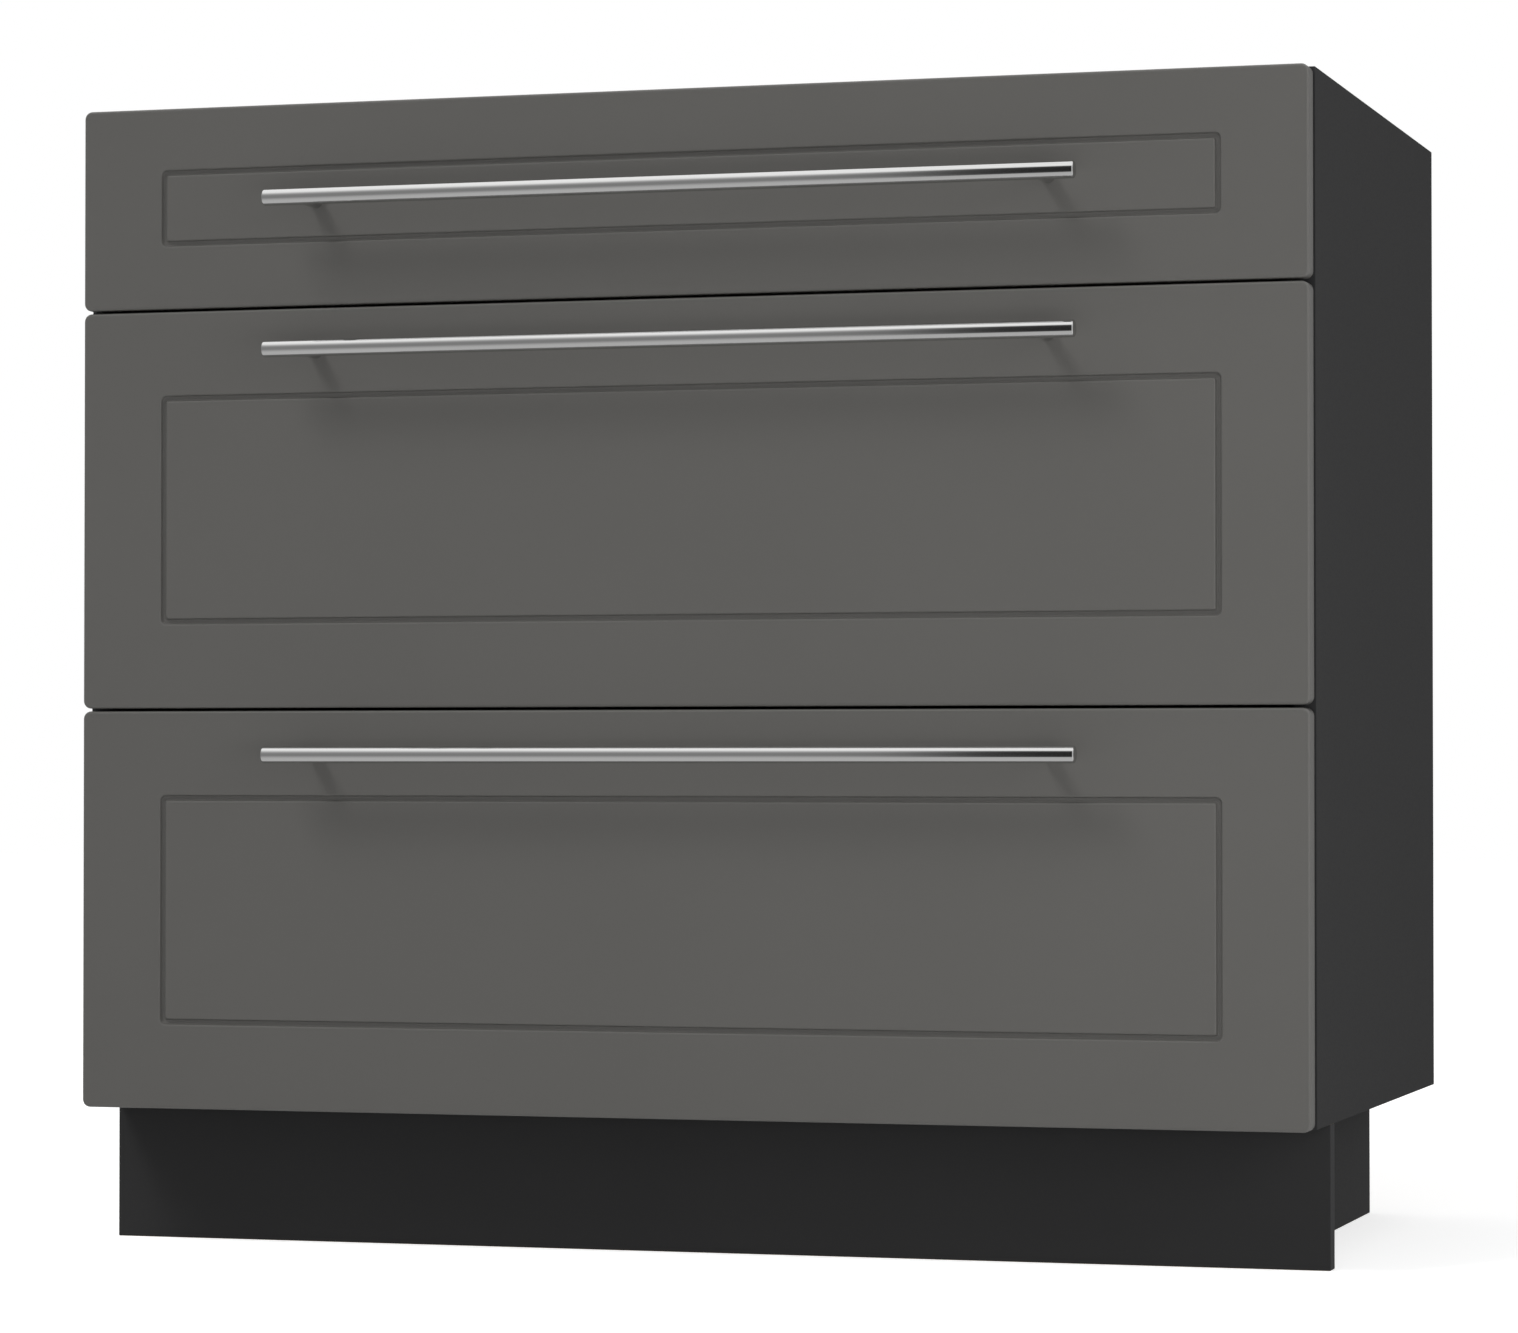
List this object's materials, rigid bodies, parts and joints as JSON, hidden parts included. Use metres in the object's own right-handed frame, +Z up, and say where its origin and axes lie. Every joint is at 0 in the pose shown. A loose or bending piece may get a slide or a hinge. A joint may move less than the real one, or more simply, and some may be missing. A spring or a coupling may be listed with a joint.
{
  "type": "base cabinet with drawers",
  "caption": "Kitchen base cabinet with a shallow drawer over two deep ones, grooved fronts with long bar handles, on roller runners, with a set-back plinth",
  "frame": {"origin": "on the floor under the centre of the whole object's bounding box, handles included", "axes": "+X to the object's right seen from the front, +Y to its back, +Z up; the drawers open along -Y"},
  "size_m": [0.9, 0.558, 0.82],
  "materials": {
    "front_foil": "satin grey foil over fibreboard",
    "carcass_board": "dark grey melamine, faintly textured",
    "back_board": "dark grey coated hardboard",
    "drawer_board": "light grey melamine",
    "pine": "planed",
    "beech": "turned, fluted",
    "handle_steel": "brushed stainless",
    "side_steel": "grey powder coat",
    "rail_steel": "zinc plated, satin",
    "zinc_steel": "zinc plated",
    "roller_nylon": "white nylon",
    "holder_plastic": "grey moulded plastic",
    "bumper_rubber": "soft, translucent grey"
  },
  "bodies": {
    "cabinet": {"side_panel_left": "carcass_board", "side_panel_right": "carcass_board", "bottom_panel": "carcass_board", "top_rail_front": "carcass_board", "top_rail_rear": "carcass_board", "back_panel": "back_board", "plinth_front": "carcass_board", "plinth_rear": "carcass_board", "plinth_side_left": "carcass_board", "plinth_side_right": "carcass_board", "plinth_corner_blocks": "pine", "plinth_screws": "zinc_steel", "cam_locks": "zinc_steel", "cam_bolts": "zinc_steel", "wood_dowels": "beech", "cabinet_rails_left": "rail_steel", "cabinet_rails_right": "rail_steel", "rail_screws": "zinc_steel", "front_roller_pins": "zinc_steel", "front_bumpers": "bumper_rubber"},
    "drawer_bottom": {"drawer_front_bottom": "front_foil", "handle_bar_bottom": "handle_steel", "handle_posts_bottom": "handle_steel", "drawer_side_left_bottom": "side_steel", "drawer_side_right_bottom": "side_steel", "drawer_bottom_bottom": "drawer_board", "drawer_back_bottom": "drawer_board", "front_brackets_bottom": "rail_steel", "drawer_fasteners_bottom": "zinc_steel", "rear_roller_pins_bottom": "zinc_steel", "gallery_rods_bottom": "side_steel", "gallery_holders_bottom": "holder_plastic"},
    "rear_rollers_bottom": {"rear_rollers_bottom": "roller_nylon"},
    "front_rollers_bottom": {"front_rollers_bottom": "roller_nylon"},
    "drawer_middle": {"drawer_front_middle": "front_foil", "handle_bar_middle": "handle_steel", "handle_posts_middle": "handle_steel", "drawer_side_left_middle": "side_steel", "drawer_side_right_middle": "side_steel", "drawer_bottom_middle": "drawer_board", "drawer_back_middle": "drawer_board", "front_brackets_middle": "rail_steel", "drawer_fasteners_middle": "zinc_steel", "rear_roller_pins_middle": "zinc_steel", "gallery_rods_middle": "side_steel", "gallery_holders_middle": "holder_plastic"},
    "rear_rollers_middle": {"rear_rollers_middle": "roller_nylon"},
    "front_rollers_middle": {"front_rollers_middle": "roller_nylon"},
    "drawer_top": {"drawer_front_top": "front_foil", "handle_bar_top": "handle_steel", "handle_posts_top": "handle_steel", "drawer_side_left_top": "side_steel", "drawer_side_right_top": "side_steel", "drawer_bottom_top": "drawer_board", "drawer_back_top": "drawer_board", "front_brackets_top": "rail_steel", "drawer_fasteners_top": "zinc_steel", "rear_roller_pins_top": "zinc_steel"},
    "rear_rollers_top": {"rear_rollers_top": "roller_nylon"},
    "front_rollers_top": {"front_rollers_top": "roller_nylon"}
  },
  "joints": [
    {"name": "drawer_bottom_slide", "type": "slide", "parent": "cabinet", "child": "drawer_bottom", "axis": [0, -1, 0], "range_m": [0, 0.35]},
    {"name": "rear_rollers_bottom_spin", "type": "hinge", "parent": "drawer_bottom", "child": "rear_rollers_bottom", "pos_m": [0, 0.213, 0.1475], "axis": [1, 0, 0], "continuous": true},
    {"name": "front_rollers_bottom_spin", "type": "hinge", "parent": "cabinet", "child": "front_rollers_bottom", "pos_m": [0, -0.205, 0.1495], "axis": [1, 0, 0], "continuous": true},
    {"name": "drawer_middle_slide", "type": "slide", "parent": "cabinet", "child": "drawer_middle", "axis": [0, -1, 0], "range_m": [0, 0.35]},
    {"name": "rear_rollers_middle_spin", "type": "hinge", "parent": "drawer_middle", "child": "rear_rollers_middle", "pos_m": [0, 0.213, 0.4355], "axis": [1, 0, 0], "continuous": true},
    {"name": "front_rollers_middle_spin", "type": "hinge", "parent": "cabinet", "child": "front_rollers_middle", "pos_m": [0, -0.205, 0.4375], "axis": [1, 0, 0], "continuous": true},
    {"name": "drawer_top_slide", "type": "slide", "parent": "cabinet", "child": "drawer_top", "axis": [0, -1, 0], "range_m": [0, 0.35]},
    {"name": "rear_rollers_top_spin", "type": "hinge", "parent": "drawer_top", "child": "rear_rollers_top", "pos_m": [0, 0.213, 0.7235], "axis": [1, 0, 0], "continuous": true},
    {"name": "front_rollers_top_spin", "type": "hinge", "parent": "cabinet", "child": "front_rollers_top", "pos_m": [0, -0.205, 0.7255], "axis": [1, 0, 0], "continuous": true}
  ],
  "couplings": [
    {"joint": "rear_rollers_bottom_spin", "follows": "drawer_bottom_slide", "rad_per_m": 100},
    {"joint": "front_rollers_bottom_spin", "follows": "drawer_bottom_slide", "rad_per_m": 100},
    {"joint": "rear_rollers_middle_spin", "follows": "drawer_middle_slide", "rad_per_m": 100},
    {"joint": "front_rollers_middle_spin", "follows": "drawer_middle_slide", "rad_per_m": 100},
    {"joint": "rear_rollers_top_spin", "follows": "drawer_top_slide", "rad_per_m": 100},
    {"joint": "front_rollers_top_spin", "follows": "drawer_top_slide", "rad_per_m": 100}
  ]
}
